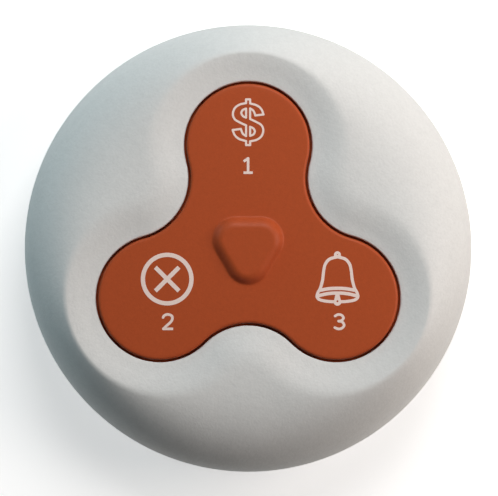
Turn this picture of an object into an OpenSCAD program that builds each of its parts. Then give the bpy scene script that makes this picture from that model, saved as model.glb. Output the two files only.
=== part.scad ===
// Waiter call button: a table-top puck with a dished housing and a soft three-lobed keypad.
// Millimetres, +Z up. The origin is on the table, under the middle of the keypad.
// The lobe of the bill key points to +Y, and the three lobes repeat every 120 degrees.

/* [Housing] */
// Diameter of the housing at its widest line
body_d = 80; // [78:0.5:86]
// Height of that widest line above the table
waist_z = 10; // [9.6:0.1:11.5]
// Height of the seam between the upper shell and the base
seam_z = 6.6; // [6.2:0.1:7.2]
// Wall thickness of both shells
wall = 2.2; // [1.8:0.1:2.4]
// Set-back of the seam edge from the widest line
seam_inset = 0.7; // [0.4:0.1:0.9]

/* [Dish round the keypad] */
// Width of the dished band round the keypad
dish_w = 5; // [4.2:0.1:5.4]
// Depth of the dished band
dish_h = 1.2; // [0.9:0.1:1.5]
// How far the crown stays high between two lobes before it falls off
neck_power = 3; // [2.5:0.1:3.6]
// How far it stays high past a lobe's end
tip_power = 1.3; // [1.1:0.1:1.6]
// Rounding of the window edge
window_round = 0.3; // [0.2:0.05:0.4]

/* [Keypad] */
// Distance from the middle to the centre of a lobe
lobe_d = 18.1; // [17.6:0.1:18.6]
// Radius of a lobe of the window
lobe_r = 11.4; // [11:0.1:11.7]
// Radius of the hollow between two lobes
neck_r = 10.7; // [10.2:0.1:11.4]
// Gap between the keypad skin and the window
skin_gap = 0.45; // [0.3:0.05:0.6]
// Thickness of the keypad skin over the keys
skin_t = 1.2; // [1:0.1:1.4]
// How far the skin stands above the window edge
skin_proud = 0.4; // [0.2:0.05:0.6]
// Rounding of the skin's top edge
skin_round = 0.5; // [0.3:0.05:0.6]
// Thickness of the skin's side wall
skirt_t = 0.9; // [0.7:0.05:1]
// Width of the skin's flange outside the window outline
flange_w = 1.6; // [1.3:0.1:1.9]
// Thickness of the skin's flange
flange_t = 1; // [0.8:0.1:1.2]
// Height of the boss in the middle
boss_h = 1.3; // [1:0.1:1.6]
// Half-breadth of the boss's foot across its flat sides
boss_flat = 5.3; // [5:0.1:5.6]
// Reach of the boss's foot at its corners
boss_corner = 6.6; // [6.3:0.1:6.9]
// Length over which the boss's side rounds into its top
boss_side = 2; // [1.6:0.1:2.4]

/* [Keys] */
// Travel of a key
key_travel = 0.9; // [0.6:0.05:1]
// Thickness of a key plate
key_t = 1.6; // [1.4:0.1:1.8]
// Gap between a key plate and the skin's side wall
key_clear = 0.2; // [0.15:0.05:0.3]
// Distance from the middle to the inner end of a key plate
key_inner = 9.5; // [9:0.1:10.5]
// Diameter of a plunger
plunger_d = 5; // [4.4:0.1:5.4]
// Diameter of a guide pin
pin_d = 2; // [1.8:0.1:2.2]
// Running gap round a guide pin
pin_clear = 0.05; // [0.03:0.01:0.08]
// Distance of a guide pin from the plunger's axis
pin_offset = 7.3; // [7.1:0.05:7.4]
// Length of guide pin below the guide frame
pin_over = 0.9; // [0.7:0.1:1]
// Air left under a guide pin at the end of its travel
pin_air = 0.2; // [0.15:0.05:0.4]

/* [Guide frame] */
// Thickness of the guide frame
frame_t = 1.6; // [1.4:0.1:1.8]
// Air left under a key plate at the end of its travel
frame_air = 0.5; // [0.4:0.05:0.6]
// Width of the guide frame outside the window outline
frame_w = 2.6; // [2.2:0.1:2.8]
// Distance from the window's neck out to a screw of the guide frame
frame_screw_out = 5.6; // [5.4:0.1:6]
// Diameter of the screws of the guide frame and the board
small_screw_d = 1.6; // [1.4:0.1:1.8]

/* [Board and contacts] */
// Height of the board's underside above the coin cell
board_air = 2.35; // [2.2:0.05:2.5]
// Thickness of the board
board_t = 1.6; // [1.2:0.1:1.6]
// Gap between the board and the upper shell's wall
board_gap = 2.2; // [1.8:0.1:2.6]
// Distance from the board's rim in to a board screw
board_screw_in = 3.2; // [3:0.1:3.6]
// Thickness of the dome mat's sheet
mat_t = 0.8; // [0.6:0.1:0.9]
// Thickness of a dome's wall
web_t = 0.45; // [0.35:0.05:0.55]
// Radius of a dome at its foot
dome_r = 4.6; // [4.4:0.1:4.8]
// Diameter of a contact pill
pill_d = 4; // [3.6:0.1:4.2]
// Thickness of a contact pill
pill_t = 0.9; // [0.7:0.1:1]

/* [Base] */
// Height of the rubber feet below the base
foot_h = 0.8; // [0.6:0.1:1]
// Diameter of a rubber foot
foot_d = 9.2; // [8:0.1:9.6]
// Distance from the rim of the flat underside in to the middle of a rubber foot
foot_in = 5.8; // [5.2:0.1:6.2]
// Thickness of the base floor
floor_t = 2; // [1.8:0.1:2.2]
// Radius of the base's lower edge
base_round = 6; // [5.6:0.1:6.2]
// Flat underside left outside the recess of a case screw
screw_rim = 0.2; // [0.1:0.05:0.4]
// Diameter of the case screws
case_screw_d = 2.2; // [2:0.1:2.4]
// Radius of the posts and bosses round the case screws
post_r = 3; // [2.8:0.1:3.1]

/* [Battery] */
// Diameter of the coin cell
cell_d = 24.5; // [24:0.1:24.5]
// Thickness of the coin cell
cell_h = 5; // [4.8:0.1:5]
// Thickness of the battery lid
lid_t = 1.1; // [1:0.05:1.2]
// Width of the battery lid outside its seal
lid_rim = 0.6; // [0.4:0.1:0.8]
// Turn of the battery lid from locked to free
lid_turn = 40; // [30:1:45]
// Angle covered by a bayonet lug
lug_arc = 26; // [20:1:30]
// Gap round the battery lid
lid_clear = 0.25; // [0.2:0.05:0.35]

/* [Hidden] */
$fn = 72;

// The three lobes, and the three necks between them
bill_a = 90;
cancel_a = 210;
call_a = 330;
lobe_angles = [bill_a, cancel_a, call_a];
neck_angles = [30, 150, 270];
third = 120;
half_third = third / 2;
eps = 0.01;

// Plan of the housing
body_r = body_d / 2;
round_x = body_r - seam_inset - base_round;
board_r = body_r - wall - board_gap;
board_screw_r = board_r - board_screw_in;
foot_r = round_x - foot_in;

// The neck circle touches two lobe circles, which sets its distance from the middle
arc_sum = lobe_r + neck_r;
neck_d = (lobe_d + sqrt(4 * arc_sum * arc_sum - 3 * lobe_d * lobe_d)) / 2;
neck_x = neck_d * cos(half_third);
neck_y = neck_d * sin(half_third);
join_x = (neck_x - lobe_d) / arc_sum;
join_y = neck_y / arc_sum;
neck_min = neck_d - neck_r;
frame_screw_r = neck_min + frame_screw_out;

// Heights, from the table up to the dome mat
base_z = foot_h;
floor_z = base_z + floor_t;
lid_top = base_z + lid_t;
cell_gap = 0.15;
cell_z = lid_top + cell_gap;
cell_top = cell_z + cell_h;
board_z = cell_top + board_air;
board_top = board_z + board_t;
mat_top = board_top + mat_t;
pad_t = 0.05;
touch_gap = 0.02;
pill_z = board_top + pad_t + touch_gap + key_travel;
platform_z = pill_z + pill_t;
platform_t = 0.8;
platform_top = platform_z + platform_t;

// Heights, from the tips of the guide pins up to the window
pin_z = mat_top + key_travel + pin_air;
frame_under = pin_z + pin_over;
frame_top = frame_under + frame_t;
key_under = frame_top + frame_air + key_travel;
skin_under = key_under + key_t;
skin_top = skin_under + skin_t;
window_z = skin_top - skin_proud;
lip_z = window_z - wall;
flange_under = lip_z - flange_t;

// Screws
screw_fit = 0.02;
screw_pass = 0.15;
small_head_share = 2.3;
small_screw_r = small_screw_d / 2;
small_head_r = small_screw_r * small_head_share;
small_head_h = 1.2;
case_head_share = 1.9;
case_screw_rad = case_screw_d / 2;
case_head_r = case_screw_rad * case_head_share;
case_head_h = 1.4;
head_gap = 0.1;
case_screw_r = round_x - screw_rim - screw_pass - case_head_r;

// Colours
shell_grey = [0.86, 0.86, 0.84];
base_grey = [0.80, 0.80, 0.78];
rust = [0.64, 0.29, 0.15];
dark_rubber = [0.16, 0.16, 0.17];
pale_plastic = [0.90, 0.89, 0.86];
board_green = [0.10, 0.36, 0.22];
steel = [0.72, 0.73, 0.75];
gold = [0.83, 0.66, 0.30];
carbon = [0.10, 0.10, 0.11];

// ---------- Outline of the keypad window ----------

function polar(r, a) = [r * cos(a), r * sin(a)];

// Angle from the nearest lobe's middle line, 0 to 60. The two turns keep the sum above zero.
two_turns = 720;
function fold(a) = abs((a - bill_a + half_third + two_turns) % third - half_third);

// Angle at which the lobe arc passes into the neck arc, for an outline moved out by o
function join_angle(o) = atan2((lobe_r + o) * join_y, lobe_d + (lobe_r + o) * join_x);

// Radius of the outline moved out by o, in direction a
function edge_r(a, o) =
    let (f = fold(a), g = half_third - f, lr = lobe_r + o, nr = neck_r - o)
    f < join_angle(o)
        ? lobe_d * cos(f) + sqrt(lr * lr - pow(lobe_d * sin(f), 2))
        : neck_d * cos(g) - sqrt(nr * nr - pow(neck_d * sin(g), 2));

// Distance of a point outside the outline
function outline_gap(r, a) =
    let (f = fold(a), x = r * cos(f), y = r * sin(f))
    join_x * y - join_y * (x - lobe_d) < 0
        ? norm([x - lobe_d, y]) - lobe_r
        : neck_r - norm([x - neck_x, y - neck_y]);

// The same outline in true arcs: the ground between the arcs' centres less the neck circles, and the lobes
module trefoil(o) {
    reach = 2 * lobe_r;
    difference() {
        polygon([for (a = lobe_angles) each [polar(lobe_d, a), polar(neck_d, a + half_third)]]);
        for (a = neck_angles)
            translate(polar(neck_d, a)) circle(neck_r - o);
    }
    for (a = lobe_angles)
        rotate(a) translate([lobe_d, 0]) intersection() {
            circle(lobe_r + o);
            polygon([
                [0, 0], reach * [join_x, -join_y], reach * [1, -1], reach * [1, 1], reach * [join_x, join_y]
            ]);
        }
}

// ---------- Surfaces ----------

// The lesser of two heights, with a rounding k where they cross
function soft_min(a, b, k) = min(a, b) - pow(max(k - abs(a - b), 0), 2) / (4 * k);

crest_soft = 0.7;
dish_power = 1.3;
rim_power = 1.7;
crest_z = window_z + dish_h;

function mix(a, b, s) = a * (1 - s) + b * s;

// The crown falls from the band's crest to the rim, at once past the lobes' ends and late between them
function fall_power(crest) =
    mix(neck_power, tip_power, (crest - neck_min - dish_w) / (lobe_d + lobe_r - neck_min));

// Height of the crown in direction a, moved in by t
function crown(r, a, t) =
    let (
        crest = edge_r(a, dish_w),
        out = min(max((r - crest) / (body_r - t - crest), 0), 1)
    )
    waist_z + (crest_z - t - waist_z) * pow(1 - pow(out, fall_power(crest)), 1 / rim_power);

// Height of the dished band along the outline
function band(r, a) = window_z + dish_h * pow(max(outline_gap(r, a), 0) / dish_w, dish_power);

// Height of the housing's top, moved in by t
function top_z(r, a, t) = soft_min(crown(r, a, t), band(r, a) - t, crest_soft);

// ---------- Bodies made of rings of points ----------

sectors = 96;
sector_a = 360 / sectors;
ring_angles = [for (i = [0:sectors - 1]) i * sector_a];

function circle_ring(r, z) = [for (a = ring_angles) [r * cos(a), r * sin(a), z]];
function edge_ring(o, z) = [for (a = ring_angles) let (r = edge_r(a, o)) [r * cos(a), r * sin(a), z]];

// Two triangles for each cell between ring k and ring m
function cells(k, m) = [
    for (i = [0:sectors - 1])
        let (j = (i + 1) % sectors, a = k * sectors, b = m * sectors)
        each [[a + i, b + j, b + i], [a + i, a + j, b + j]]
];

// A closed tube of rings, the last joined to the first
module ring_tube(rings) {
    n = len(rings);
    polyhedron([for (ring = rings) each ring], [for (k = [0:n - 1]) each cells(k, (k + 1) % n)], 4);
}

// A closed body of rings between two end points
module ring_body(rings, first, last) {
    n = len(rings);
    end = n * sectors;
    polyhedron(
        [for (ring = rings) each ring, first, last],
        [
            for (k = [0:n - 2]) each cells(k, k + 1),
            for (i = [0:sectors - 1])
                let (j = (i + 1) % sectors)
                each [[end, j, i], [end - sectors + i, end - sectors + j, end + 1]]
        ],
        4
    );
}

// ---------- Upper shell ----------

band_steps = 6;
crown_steps = 5;
rim_steps = 6;
lower_steps = 3;
inner_steps = 4;
land_over = 1.2;
land_w = flange_w + land_over;
land_rise = 0.3;
rim_depth = 1.8;
lip_clear = 0.1;
base_rim_w = 2.25;
rim_in_r = body_r - seam_inset - base_rim_w;
rim_lead = 1;
rim_w = 5;
rim_start_r = body_r - rim_w;

// Radius at which the rings of the rim start in direction a, moved in by t, always outside the window's land
function rim_r(a, t) = max(rim_start_r - t, edge_r(a, land_w) + rim_lead);

// A ring on the top: s is 0 at the window, 1 on the crest of the band and 2 where the rim starts
function top_ring(s) = [
    for (a = ring_angles)
        let (
            rim = rim_r(a, 0),
            crest = min(edge_r(a, dish_w), rim - rim_lead / 2),
            r = s < 1 ? mix(edge_r(a, window_round), crest, s) : mix(crest, rim, s - 1)
        )
        [r * cos(a), r * sin(a), top_z(r, a, 0)]
];

// A ring on the underside of the top, from the window's land at s = 0 to the rim at s = 1
function under_ring(s) = [
    for (a = ring_angles)
        let (r = mix(edge_r(a, land_w + land_rise), rim_r(a, wall), s))
        [r * cos(a), r * sin(a), top_z(r, a, wall)]
];

// A ring on the rim, moved in by t: s is 0 where the rim starts and 1 on the widest line
function rim_ring(s, t) = [
    for (a = ring_angles)
        let (r = mix(rim_r(a, t), body_r - t, sin(90 * s)))
        [r * cos(a), r * sin(a), s < 1 ? top_z(r, a, t) : waist_z]
];

// A ring below the widest line, where the side curves in to the seam
function lower_ring(s) = circle_ring(body_r - seam_inset * s * s, mix(waist_z, seam_z, s));

module case_boss_places() {
    for (a = neck_angles) translate(polar(case_screw_r, a)) children();
}

module frame_boss_places() {
    for (a = neck_angles) translate(polar(frame_screw_r, a)) children();
}

post_top = seam_z + rim_depth;
case_boss_top = top_z(case_screw_r + post_r, neck_angles[0], 0) - wall / 6;
case_tip_cover = 3;
case_tip_z = case_boss_top - case_tip_cover;
frame_boss_wall = 1.7;
frame_boss_r = small_screw_r + frame_boss_wall;
frame_boss_top = top_z(frame_screw_r - frame_boss_r, neck_angles[0], 0) - wall / 4;
frame_tip_cover = 1.2;
frame_tip_z = frame_boss_top - frame_tip_cover;

module upper_shell() {
    color(shell_grey)
    difference() {
        union() {
            ring_tube([
                edge_ring(0, lip_z),
                edge_ring(0, window_z - window_round),
                for (k = [0:band_steps]) top_ring(k / band_steps),
                for (k = [1:crown_steps]) top_ring(1 + k / crown_steps),
                for (k = [1:rim_steps]) rim_ring(k / rim_steps, 0),
                for (k = [1:lower_steps]) lower_ring(k / lower_steps),
                circle_ring(rim_in_r, seam_z),
                circle_ring(rim_in_r, post_top),
                for (k = [inner_steps:-1:0]) rim_ring(k / inner_steps, wall),
                for (k = [inner_steps - 1:-1:0]) under_ring(k / inner_steps),
                edge_ring(land_w, lip_z)
            ]);
            case_boss_places() translate([0, 0, post_top])
                cylinder(h = case_boss_top - post_top, r = post_r);
            frame_boss_places() translate([0, 0, frame_top])
                cylinder(h = frame_boss_top - frame_top, r = frame_boss_r);
        }
        case_boss_places() translate([0, 0, post_top - eps])
            cylinder(h = case_tip_z + head_gap - post_top, r = case_screw_rad + screw_fit);
        frame_boss_places() translate([0, 0, frame_top - eps])
            cylinder(h = frame_tip_z + head_gap - frame_top, r = small_screw_r + screw_fit);
    }
}

// ---------- Keypad skin ----------

// The boss is a small triangle grown by a round: its flats face the lobes and its corners face the necks
boss_core = boss_corner - boss_flat;
boss_grow = boss_flat - boss_core;
boss_land = boss_grow - boss_side;
boss_power = 2.2;

// Radius in direction a of the triangle grown by t
function boss_r(a, t) =
    let (f = fold(a), g = half_third - f)
    tan(f) * (boss_core + t) <= boss_core * sqrt(3)
        ? (boss_core + t) / cos(f)
        : 2 * boss_core * cos(g) + sqrt(t * t - pow(2 * boss_core * sin(g), 2));

boss_steps = 6;
boss_inner = [0.4, 0.75];
pad_steps = 4;
side_wall_o = -skin_gap - skirt_t;

// A ring on the boss, steep at its foot and level on its land
function boss_ring(t) = [
    for (a = ring_angles)
        let (r = boss_r(a, t), low = min(max((t - boss_land) / boss_side, 0), 1))
        [r * cos(a), r * sin(a), skin_top + boss_h * (1 - pow(low, boss_power))]
];

function pad_ring(s) = [
    for (a = ring_angles)
        let (r = mix(boss_r(a, boss_grow), edge_r(a, -skin_gap - skin_round), s))
        [r * cos(a), r * sin(a), skin_top]
];

module keypad_skin() {
    color(rust)
    ring_body(
        [
            for (s = boss_inner) boss_ring(s * boss_land),
            for (k = [0:boss_steps]) boss_ring(boss_land + boss_side * k / boss_steps),
            for (k = [1:pad_steps]) pad_ring(k / pad_steps),
            for (b = [30, 60, 90])
                edge_ring(-skin_gap - skin_round * (1 - sin(b)), skin_top - skin_round * (1 - cos(b))),
            edge_ring(-skin_gap, lip_z),
            edge_ring(flange_w, lip_z),
            edge_ring(flange_w, flange_under),
            edge_ring(side_wall_o, flange_under),
            edge_ring(side_wall_o, skin_under)
        ],
        [0, 0, skin_top + boss_h],
        [0, 0, skin_under]
    );
}

// ---------- Keys ----------

key_o = side_wall_o - key_clear;
pocket_depth = key_t / 2;
key_wall = 1;
rib_t = 0.8;
pin_tip = pin_d / 4;
pin_taper = 0.6;

// A key plate with its plunger and guide pins, its lobe in direction a
module key(a) {
    rim_r = plunger_d / 2 + rib_t;
    color(pale_plastic)
    rotate(a) {
        difference() {
            translate([0, 0, key_under]) linear_extrude(key_t) key_outline(key_o, key_inner);
            translate([0, 0, key_under - eps]) linear_extrude(pocket_depth + eps) difference() {
                key_outline(key_o - key_wall, key_inner + key_wall);
                translate([lobe_d, 0]) circle(rim_r);
                translate([lobe_d, 0]) square([4 * lobe_r, rib_t], center = true);
                translate([lobe_d, 0]) square([2 * rib_t, 4 * lobe_r], center = true);
                for (y = [-pin_offset, pin_offset]) translate([lobe_d, y]) circle(pin_d / 2 + rib_t);
            }
        }
        translate([lobe_d, 0, platform_top])
            cylinder(h = key_under + pocket_depth - platform_top, d = plunger_d);
        for (y = [-pin_offset, pin_offset])
            translate([lobe_d, y, pin_z]) {
                translate([0, 0, pin_tip])
                    cylinder(h = key_under + pocket_depth - pin_z - pin_tip, d = pin_d);
                cylinder(h = pin_tip + eps, d1 = pin_d * pin_taper, d2 = pin_d);
            }
    }
}

// Outline of one key plate along +X: one lobe of the trefoil, cut off at x0
module key_outline(o, x0) {
    intersection() {
        rotate(-bill_a) trefoil(o);
        translate([x0, -2 * lobe_r]) square([4 * lobe_r, 4 * lobe_r]);
    }
}

module bill_key() { key(bill_a); }
module cancel_key() { key(cancel_a); }
module call_key() { key(call_a); }

// A carbon contact pill under a dome's platform
module pill(a) {
    color(carbon)
    translate([each polar(lobe_d, a), pill_z]) cylinder(h = pill_t, d = pill_d);
}

module bill_pill() { pill(bill_a); }
module cancel_pill() { pill(cancel_a); }
module call_pill() { pill(call_a); }

// ---------- Guide frame ----------

dome_hole_gap = 0.6;
dome_hole_r = dome_r + dome_hole_gap;
rim_gap = 0.5;
rim_in_o = key_o + rim_gap;
ear_rim = 1;
ear_r = small_head_r + ear_rim;
ear_web_share = 1.6;
ear_web = ear_web_share * ear_r;
post_inset = 0.8;

module guide_frame() {
    color(pale_plastic)
    difference() {
        union() {
            translate([0, 0, frame_under]) linear_extrude(frame_t) {
                trefoil(frame_w);
                for (a = neck_angles) {
                    translate(polar(frame_screw_r, a)) circle(ear_r);
                    rotate(a) translate([neck_min, -ear_web / 2])
                        square([frame_screw_r - neck_min, ear_web]);
                }
            }
            translate([0, 0, frame_top - eps]) linear_extrude(flange_under - frame_top + eps) difference() {
                trefoil(flange_w);
                trefoil(rim_in_o);
            }
            translate([0, 0, frame_top - eps]) linear_extrude(skin_under - frame_top + eps) centre_post();
        }
        for (a = lobe_angles)
            rotate(a) translate([lobe_d, 0, frame_under - eps]) {
                cylinder(h = frame_t + 2 * eps, r = dome_hole_r);
                for (y = [-pin_offset, pin_offset])
                    translate([0, y, 0]) cylinder(h = frame_t + 2 * eps, r = pin_d / 2 + pin_clear);
            }
        frame_boss_places() translate([0, 0, frame_under - eps])
            cylinder(h = frame_t + 2 * eps, r = small_screw_r + screw_pass);
    }
}

// The post that carries the boss: a triangle with its corners cut by a round
module centre_post() {
    flat = boss_flat - post_inset;
    intersection() {
        circle(boss_corner - post_inset);
        polygon([for (a = neck_angles) polar(2 * flat, a)]);
    }
}

// ---------- Screws ----------

// Shares of a screw's head and shank: the bevel's height and top, the cross recess and the point
bevel_share = 0.4;
bevel_top = 0.8;
cross_breadth = 0.28;
cross_reach = 0.6;
cross_depth = 0.55;
point_share = 0.35;

// A pan-head screw with its head below z = 0 and its shank up to z = length
module screw(length, shank_r, head_r, head_h) {
    bevel = head_h * bevel_share;
    arm = head_r * cross_reach;
    slot = head_r * cross_breadth;
    difference() {
        union() {
            translate([0, 0, -head_h]) cylinder(h = bevel, r1 = head_r * bevel_top, r2 = head_r);
            translate([0, 0, bevel - head_h]) cylinder(h = head_h - bevel, r = head_r);
            cylinder(h = length - shank_r, r = shank_r);
            translate([0, 0, length - shank_r])
                cylinder(h = shank_r, r1 = shank_r, r2 = shank_r * point_share);
        }
        for (a = [0, 90]) rotate(a)
            translate([-arm, -slot / 2, -head_h - eps]) cube([2 * arm, slot, head_h * cross_depth]);
    }
}

module frame_screws() {
    color(steel)
    frame_boss_places() translate([0, 0, frame_under])
        screw(frame_tip_z - frame_under, small_screw_r, small_head_r, small_head_h);
}

module case_screws() {
    color(steel)
    case_boss_places() translate([0, 0, case_seat_z])
        screw(case_tip_z - case_seat_z, case_screw_rad, case_head_r, case_head_h);
}

module board_screws() {
    color(steel)
    for (a = lobe_angles) translate([each polar(board_screw_r, a), board_top]) mirror([0, 0, 1])
        screw(board_t + board_bite, small_screw_r, small_head_r, small_head_h);
}

// ---------- Dome mat ----------

mat_o = -3.6;
mat_hole_r = dome_r - web_t;
platform_rim = 0.1;
platform_r = plunger_d / 2 + platform_rim;
dome_root = 0.1;

module dome_mat() {
    color(dark_rubber)
    difference() {
        union() {
            translate([0, 0, board_top]) linear_extrude(mat_t) trefoil(mat_o);
            for (a = lobe_angles) translate(polar(lobe_d, a)) rotate_extrude() polygon([
                [0, mat_top - dome_root], [dome_r + dome_root, mat_top - dome_root], [dome_r, mat_top],
                [platform_r + web_t / 2, platform_z + web_t],
                [platform_r + web_t / 2, platform_top], [0, platform_top]
            ]);
        }
        for (a = lobe_angles) translate(polar(lobe_d, a)) rotate_extrude() polygon([
            [0, board_top - eps], [mat_hole_r, board_top - eps], [mat_hole_r, mat_top - web_t / 2],
            [platform_r, platform_z], [0, platform_z]
        ]);
    }
}

// ---------- Circuit board ----------

notch_gap = 0.6;
board_bite = 4;
board_post_wall = 1.5;
board_post_r = small_screw_r + board_post_wall;

module circuit_board() {
    color(board_green)
    translate([0, 0, board_z]) linear_extrude(board_t) difference() {
        circle(board_r);
        for (a = neck_angles) rotate(a) translate([case_screw_r, 0]) {
            circle(post_r + notch_gap);
            translate([0, -post_r]) square(2 * post_r);
        }
        for (a = lobe_angles) translate(polar(board_screw_r, a)) circle(small_screw_r + screw_pass);
    }
}

pad_slot = 0.4;
pad_over = 0.5;
pad_r = pill_d / 2 + pad_over;

// Two half-moon pads under each pill, which the pill bridges
module contact_pads() {
    color(gold)
    for (a = lobe_angles) translate([each polar(lobe_d, a), board_top]) rotate(a) linear_extrude(pad_t)
        difference() {
            circle(pad_r);
            square([3 * pad_r, pad_slot], center = true);
        }
}

// The radio parts lie in the neck between the bill and cancel keys, inside the notch for the case screw
radio_a = neck_angles[1];
chip_w = 5;
chip_h = 0.9;
chip_gap = 0.4;
leg_w = 0.3;
leg_reach = 0.5;
leg_pitch = 0.9;
leg_h = 0.25;
legs_each_way = 2;
chip_r = case_screw_r - post_r - notch_gap - chip_gap - leg_reach - chip_w / 2;

// What stands on the board round the chip, its place measured from the chip's middle
module by_chip(x, y) {
    rotate(radio_a) translate([chip_r + x, y, board_top]) children();
}

module radio_chip() {
    color(carbon)
    by_chip(0, 0) {
        translate([-chip_w / 2, -chip_w / 2, 0]) cube([chip_w, chip_w, chip_h]);
        for (q = [0:90:270]) rotate(q) for (k = [-legs_each_way:legs_each_way])
            translate([chip_w / 2 - eps, k * leg_pitch - leg_w / 2, 0]) cube([leg_reach, leg_w, leg_h]);
    }
}

can_base = [2.5, 3.2, 0.8];
can_step = 0.25;
can_rise = 0.15;
can_gap = 1.4;

module crystal() {
    color(steel)
    by_chip(-can_base[0] / 2, chip_w / 2 + leg_reach + can_gap) {
        cube(can_base);
        translate([can_step, can_step, can_base[2] - eps])
            cube([can_base[0] - 2 * can_step, can_base[1] - 2 * can_step, can_rise + eps]);
    }
}

chip_part = [0.8, 1.6, 0.5];
part_gap = 0.8;
part_pitch = 2.5;
part_x = chip_w / 2 + leg_reach + part_gap + chip_part[0];
part_y = chip_w / 2 + leg_reach + part_gap;

// A row of three on the chip's inner side, three across one end, and two beyond the crystal
module chip_parts() {
    color(gold) {
        for (k = [-1:1]) by_chip(-part_x, k * part_pitch - chip_part[1] / 2) cube(chip_part);
        for (k = [-1:1]) by_chip(k * part_pitch / 2 - chip_part[0] / 2, -part_y - chip_part[1])
            cube(chip_part);
        for (k = [-1, 1])
            by_chip(k * part_pitch / 2 - chip_part[0] / 2, part_y + can_gap + can_base[1]) cube(chip_part);
    }
}

// The aerial is a helix of wire that lies along the board's rim, between the bill and call keys
aerial_a = neck_angles[0] + 18;
aerial_in = 1;
coil_r = 2.1;
coil_wire_r = 0.35;
coil_pitch = 1.5;
coil_turns = 5;
coil_rings = 12;
wire_sides = 8;
aerial_r = board_r - aerial_in - coil_r - coil_wire_r;

// Point on the wire's surface: ring k, side j
function coil_point(k, j) =
    let (
        turn = 360 * k / coil_rings - 90,
        around = 360 * j / wire_sides,
        reach = coil_r + coil_wire_r * cos(around)
    )
    [
        reach * cos(turn),
        coil_pitch * (k / coil_rings - coil_turns / 2) + coil_wire_r * sin(around),
        reach * sin(turn)
    ];

module antenna_coil() {
    last = coil_turns * coil_rings;
    color(gold)
    rotate(aerial_a) translate([aerial_r, 0, board_top + coil_r + coil_wire_r]) polyhedron(
        [for (k = [0:last]) for (j = [0:wire_sides - 1]) coil_point(k, j)],
        [
            [for (j = [0:wire_sides - 1]) j],
            [for (j = [wire_sides - 1:-1:0]) last * wire_sides + j],
            for (k = [0:last - 1]) for (j = [0:wire_sides - 1])
                let (n = (j + 1) % wire_sides, a = k * wire_sides, b = a + wire_sides)
                each [[a + j, b + j, b + n], [a + j, b + n, a + n]]
        ],
        4
    );
}

// ---------- Battery contacts and coin cell ----------

leaf_t = 0.25;
leaf_w = 4;
minus_a = 0;
plus_a = 180;
cell_r = cell_d / 2;
cap_in = 1.4;
cap_r = cell_r - cap_in;
cap_h = 0.4;
edge_round = 0.4;

// Outline of a strip of thickness t that is bent along the points p
function strip_normal(p, i) =
    let (d = p[min(i + 1, len(p) - 1)] - p[max(i - 1, 0)])
    [-d[1], d[0]] / norm(d);
function strip(p, t) = concat(
    [for (i = [0:len(p) - 1]) p[i] + strip_normal(p, i) * t / 2],
    [for (i = [len(p) - 1:-1:0]) p[i] - strip_normal(p, i) * t / 2]
);

// A leaf spring in direction a, with its fixed end against the board's underside
module leaf(a, points) {
    color(steel)
    rotate(a) rotate([90, 0, 0]) translate([0, 0, -leaf_w / 2]) linear_extrude(leaf_w)
        polygon(strip(points, leaf_t));
}

minus_root = 10;
minus_bend = 7;
minus_toe = 1.2;
minus_heel = -0.3;
minus_tip = -1.5;
minus_curl = 0.5;

// It reaches down to the cell's small face and curls up at its tip
module minus_contact() {
    high = board_z - leaf_t / 2;
    low = cell_top + touch_gap + leaf_t / 2;
    leaf(minus_a, [
        [minus_root, high], [minus_bend, high], [minus_toe, low], [minus_heel, low],
        [minus_tip, low + minus_curl]
    ]);
}

plus_foot = 3;
plus_share = 0.7;

// It hangs beside the cell and touches its side
module plus_contact() {
    high = board_z - leaf_t / 2;
    near = cell_r + 2 * touch_gap + leaf_t / 2;
    leaf(plus_a, [[near + plus_foot, high], [near, high], [near, cell_z + cell_h * plus_share]]);
}

module coin_cell() {
    color(steel)
    translate([0, 0, cell_z]) rotate_extrude() polygon([
        [0, 0], [cell_r - edge_round, 0], [cell_r, edge_round], [cell_r, cell_h - cap_h - edge_round / 2],
        [cell_r - edge_round / 2, cell_h - cap_h], [cap_r + edge_round / 2, cell_h - cap_h],
        [cap_r, cell_h - edge_round / 2], [cap_r - edge_round / 2, cell_h], [0, cell_h]
    ]);
}

// ---------- Battery lid ----------

hub_gap = 0.35;
hub_in_r = cell_r + hub_gap;
hub_wall = 1.4;
hub_r = hub_in_r + hub_wall;
lug_w = 0.9;
lug_r = hub_r + lug_w;
lug_t = 1.1;
lug_root = 0.2;
lug_gap = 0.15;
mouth_r = hub_r + lid_clear;
seat_gap = 0.2;
land_z = lid_top + seat_gap;
ledge_t = 1.35;
ledge_top = land_z + ledge_t;
lug_z = ledge_top + lug_gap;
hub_top = lug_z + lug_t;
lug_start = 15;
lug_play = 1;
lug_angles = [for (i = [0:2]) i * third + lug_start];
seal_out = 0.8;
seal_t = 0.9;
seal_w = 0.9;
seal_r = lug_r + seal_out;
lid_r = seal_r + seal_w + lid_rim;
lid_edge = 0.3;
coin_slot = [14, 1.8, 0.6];
mark_d = 0.3;
mark_in = 1.2;
mark_size = [1.8, 2.2];

module battery_lid() {
    color(base_grey)
    difference() {
        union() {
            translate([0, 0, base_z + lid_edge]) cylinder(h = lid_t - lid_edge, r = lid_r);
            translate([0, 0, base_z]) cylinder(h = lid_edge, r1 = lid_r - lid_edge, r2 = lid_r);
            translate([0, 0, lid_top - eps]) rotate_extrude()
                translate([hub_in_r, 0]) square([hub_wall, hub_top - lid_top + eps]);
            for (a = lug_angles) rotate(a) rotate_extrude(angle = lug_arc)
                translate([hub_r - lug_root, lug_z]) square([lug_w + lug_root, lug_t]);
        }
        translate([-coin_slot[0] / 2, -coin_slot[1] / 2, base_z - eps]) cube(coin_slot);
        translate([0, 0, base_z - eps]) linear_extrude(mark_d) rotate(bill_a)
            translate([lid_r - mark_in, 0])
            polygon([[0, 0], [-mark_size[0], -mark_size[1] / 2], [-mark_size[0], mark_size[1] / 2]]);
    }
}

// ---------- Seals and feet ----------

seal_full = 1.08;
groove_gap = 0.05;

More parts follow.
